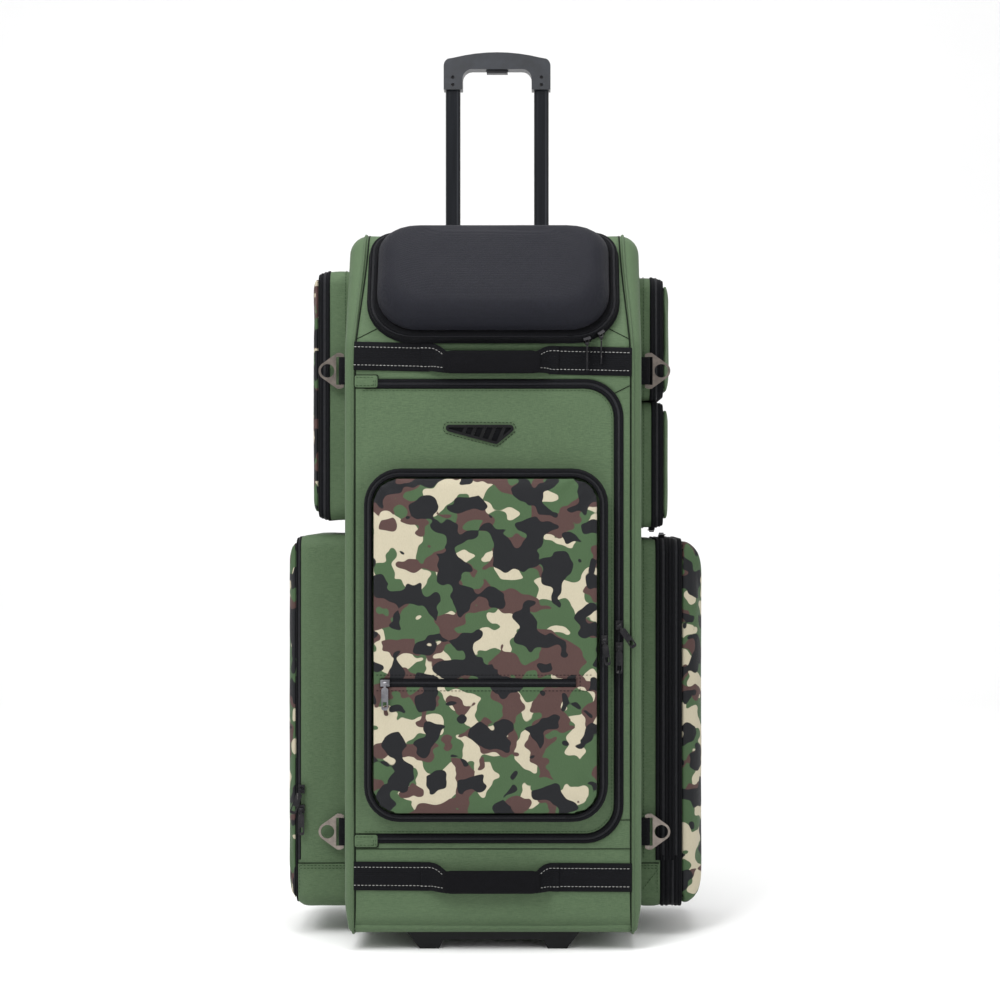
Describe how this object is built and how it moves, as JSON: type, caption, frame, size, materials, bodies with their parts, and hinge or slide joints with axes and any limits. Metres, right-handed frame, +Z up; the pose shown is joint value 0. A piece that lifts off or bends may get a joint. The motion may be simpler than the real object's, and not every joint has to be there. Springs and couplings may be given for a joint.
{
  "type": "rolling duffel bag",
  "caption": "Upright wheeled duffel bag with pull-out handle, front zip flap and box pocket, moulded shoulder case, side pockets, webbing grab handles and strap rings.",
  "frame": {"origin": "centre of the bag's bounding box on the floor it stands on", "axes": "+X towards the bag's right side as seen from its front, +Y from its front to its back, +Z up"},
  "size_m": [0.578, 0.3954, 1.272],
  "materials": {
    "green_fabric": "matte",
    "camo_fabric": "matte",
    "black_webbing": "matte",
    "zip_tape": "matte",
    "moulded_foam": "matte",
    "black_plastic": "satin",
    "grip_plastic": "satin",
    "dark_metal": "satin",
    "grey_metal": "satin",
    "tube_aluminium": "gloss",
    "gunmetal": "satin",
    "steel": "satin",
    "wheel_rubber": "matte",
    "hub_plastic": "satin"
  },
  "bodies": {
    "bag": {"left_side_panel": "green_fabric", "right_side_panel": "green_fabric", "front_frame": "green_fabric", "top_panel": "green_fabric", "back_panel": "green_fabric", "base_panel": "green_fabric", "grab_straps": "black_webbing", "flap_zip": "zip_tape", "case_zip": "zip_tape", "side_zips": "zip_tape", "outer_tubes": "tube_aluminium", "tube_bezel": "black_plastic", "wheel_base": "black_plastic", "axles": "steel", "foot_skid": "black_plastic", "ring_loops": "black_webbing", "left_upper_pocket": "green_fabric", "left_lower_pocket": "green_fabric", "right_upper_pocket": "green_fabric", "right_middle_pocket": "green_fabric", "right_lower_pocket": "green_fabric", "zip_sliders": "dark_metal"},
    "handle": {"inner_tubes": "tube_aluminium", "handle_grip": "grip_plastic", "grip_screws": "dark_metal"},
    "release": {"release_button": "black_plastic", "push_rods": "steel"},
    "left_wheel": {"left_tyre": "wheel_rubber", "left_hub": "hub_plastic"},
    "right_wheel": {"right_tyre": "wheel_rubber", "right_hub": "hub_plastic"},
    "flap": {"flap_panel": "green_fabric", "box_pocket_zip": "zip_tape", "vent_grille": "black_plastic"},
    "box_front": {"box_pocket_panel": "camo_fabric", "slit_zip": "zip_tape"},
    "case_lid": {"case_lid": "moulded_foam"},
    "left_upper_lid": {"left_upper_lid": "camo_fabric"},
    "left_lower_lid": {"left_lower_lid": "camo_fabric"},
    "right_upper_lid": {"right_upper_lid": "green_fabric"},
    "right_middle_lid": {"right_middle_lid": "green_fabric"},
    "right_lower_lid": {"right_lower_lid": "camo_fabric"},
    "ring_upper_left": {"ring_upper_left": "gunmetal"},
    "ring_upper_right": {"ring_upper_right": "gunmetal"},
    "ring_lower_left": {"ring_lower_left": "gunmetal"},
    "ring_lower_right": {"ring_lower_right": "gunmetal"},
    "upper_grab_handle": {"upper_grab_handle": "black_webbing"},
    "lower_grab_handle": {"lower_grab_handle": "black_webbing"},
    "slit_slider": {"slit_slider": "grey_metal"},
    "slit_pull": {"slit_pull": "grey_metal"},
    "flap_slider_upper": {"flap_slider_upper": "dark_metal"},
    "flap_pull_upper": {"flap_pull_upper": "dark_metal"},
    "flap_slider_lower": {"flap_slider_lower": "dark_metal"},
    "flap_pull_lower": {"flap_pull_lower": "dark_metal"},
    "box_slider": {"box_slider": "dark_metal"},
    "box_pull": {"box_pull": "dark_metal"},
    "case_pull_left": {"case_pull_left": "dark_metal"},
    "case_pull_right": {"case_pull_right": "dark_metal"},
    "left_lower_pull_upper": {"left_lower_pull_upper": "dark_metal"},
    "left_lower_pull_lower": {"left_lower_pull_lower": "dark_metal"}
  },
  "joints": [
    {"name": "handle_slide", "type": "slide", "parent": "bag", "child": "handle", "axis": [0, 0, 1], "range_m": [-0.228, 0]},
    {"name": "button_press", "type": "slide", "parent": "handle", "child": "release", "axis": [0, 0, 1], "range_m": [0, 0.003], "stiffness_N_per_m": 700, "springref_m": -0.004},
    {"name": "left_wheel_spin", "type": "hinge", "parent": "bag", "child": "left_wheel", "pos_m": [-0.15, 0.16, 0.038], "axis": [1, 0, 0], "continuous": true},
    {"name": "right_wheel_spin", "type": "hinge", "parent": "bag", "child": "right_wheel", "pos_m": [0.15, 0.16, 0.038], "axis": [1, 0, 0], "continuous": true},
    {"name": "flap_hinge", "type": "hinge", "parent": "bag", "child": "flap", "pos_m": [-0.18, -0.152, 0.46], "axis": [0, 0, -1], "range_deg": [0, 100]},
    {"name": "box_front_hinge", "type": "hinge", "parent": "flap", "child": "box_front", "pos_m": [-0.163, -0.1803, 0.415], "axis": [0, 0, -1], "range_deg": [0, 80]},
    {"name": "case_lid_hinge", "type": "hinge", "parent": "bag", "child": "case_lid", "pos_m": [0, -0.08777, 0.97432], "axis": [-1, 0, 0], "range_deg": [0, 85]},
    {"name": "left_upper_lid_hinge", "type": "hinge", "parent": "bag", "child": "left_upper_lid", "pos_m": [-0.2463, 0.168, 0.756], "axis": [0, 0, -1], "range_deg": [0, 100]},
    {"name": "left_lower_lid_hinge", "type": "hinge", "parent": "bag", "child": "left_lower_lid", "pos_m": [-0.2773, 0.168, 0.301], "axis": [0, 0, -1], "range_deg": [0, 100]},
    {"name": "right_upper_lid_hinge", "type": "hinge", "parent": "bag", "child": "right_upper_lid", "pos_m": [0.2353, 0.168, 0.836], "axis": [0, 0, 1], "range_deg": [0, 100]},
    {"name": "right_middle_lid_hinge", "type": "hinge", "parent": "bag", "child": "right_middle_lid", "pos_m": [0.2353, 0.168, 0.66], "axis": [0, 0, 1], "range_deg": [0, 100]},
    {"name": "right_lower_lid_hinge", "type": "hinge", "parent": "bag", "child": "right_lower_lid", "pos_m": [0.2613, 0.168, 0.298], "axis": [0, 0, 1], "range_deg": [0, 100]},
    {"name": "ring_upper_left_swing", "type": "hinge", "parent": "bag", "child": "ring_upper_left", "pos_m": [-0.212, -0.055, 0.79], "axis": [0, 0, 1], "range_deg": [0, 90]},
    {"name": "ring_upper_right_swing", "type": "hinge", "parent": "bag", "child": "ring_upper_right", "pos_m": [0.212, -0.055, 0.79], "axis": [0, 0, -1], "range_deg": [0, 90]},
    {"name": "ring_lower_left_swing", "type": "hinge", "parent": "bag", "child": "ring_lower_left", "pos_m": [-0.212, -0.055, 0.148], "axis": [0, 0, 1], "range_deg": [0, 90]},
    {"name": "ring_lower_right_swing", "type": "hinge", "parent": "bag", "child": "ring_lower_right", "pos_m": [0.212, -0.055, 0.148], "axis": [0, 0, -1], "range_deg": [0, 90]},
    {"name": "upper_grab_lift", "type": "slide", "parent": "bag", "child": "upper_grab_handle", "axis": [0, -1, 0], "range_m": [0, 0.015]},
    {"name": "lower_grab_lift", "type": "slide", "parent": "bag", "child": "lower_grab_handle", "axis": [0, -1, 0], "range_m": [0, 0.015]},
    {"name": "slit_slide", "type": "slide", "parent": "box_front", "child": "slit_slider", "axis": [1, 0, 0], "range_m": [0, 0.245]},
    {"name": "slit_pull_swing", "type": "hinge", "parent": "slit_slider", "child": "slit_pull", "pos_m": [-0.143, -0.1951, 0.366], "axis": [-1, 0, 0], "range_deg": [0, 170]},
    {"name": "flap_slide_upper", "type": "slide", "parent": "bag", "child": "flap_slider_upper", "axis": [0, 0, 1], "range_m": [0, 0.25]},
    {"name": "flap_slide_lower", "type": "slide", "parent": "bag", "child": "flap_slider_lower", "axis": [0, 0, 1], "range_m": [-0.18, 0]},
    {"name": "flap_pull_upper_swing", "type": "hinge", "parent": "flap_slider_upper", "child": "flap_pull_upper", "pos_m": [0.1703, -0.1593, 0.441], "axis": [-0.8192, 0, -0.5736], "range_deg": [0, 120]},
    {"name": "flap_pull_lower_swing", "type": "hinge", "parent": "flap_slider_lower", "child": "flap_pull_lower", "pos_m": [0.1703, -0.1593, 0.412], "axis": [-1, 0, 0], "range_deg": [0, 170]},
    {"name": "box_slide", "type": "slide", "parent": "flap", "child": "box_slider", "axis": [0, 0, 1], "range_m": [-0.19, 0.17]},
    {"name": "box_pull_swing", "type": "hinge", "parent": "box_slider", "child": "box_pull", "pos_m": [0.1496, -0.1868, 0.423], "axis": [-0.9903, 0, -0.1392], "range_deg": [0, 150]},
    {"name": "case_pull_left_swing", "type": "hinge", "parent": "bag", "child": "case_pull_left", "pos_m": [0.12695, -0.16381, 0.82014], "axis": [-1, 0, 0], "range_deg": [0, 70]},
    {"name": "case_pull_right_swing", "type": "hinge", "parent": "bag", "child": "case_pull_right", "pos_m": [0.14609, -0.15941, 0.82861], "axis": [-1, 0, 0], "range_deg": [0, 70]},
    {"name": "left_lower_pull_upper_swing", "type": "hinge", "parent": "bag", "child": "left_lower_pull_upper", "pos_m": [-0.27, -0.0503, 0.206], "axis": [-0.9397, 0, 0.342], "range_deg": [0, 150]},
    {"name": "left_lower_pull_lower_swing", "type": "hinge", "parent": "bag", "child": "left_lower_pull_lower", "pos_m": [-0.27, -0.0503, 0.178], "axis": [-1, 0, 0], "range_deg": [0, 150]}
  ]
}
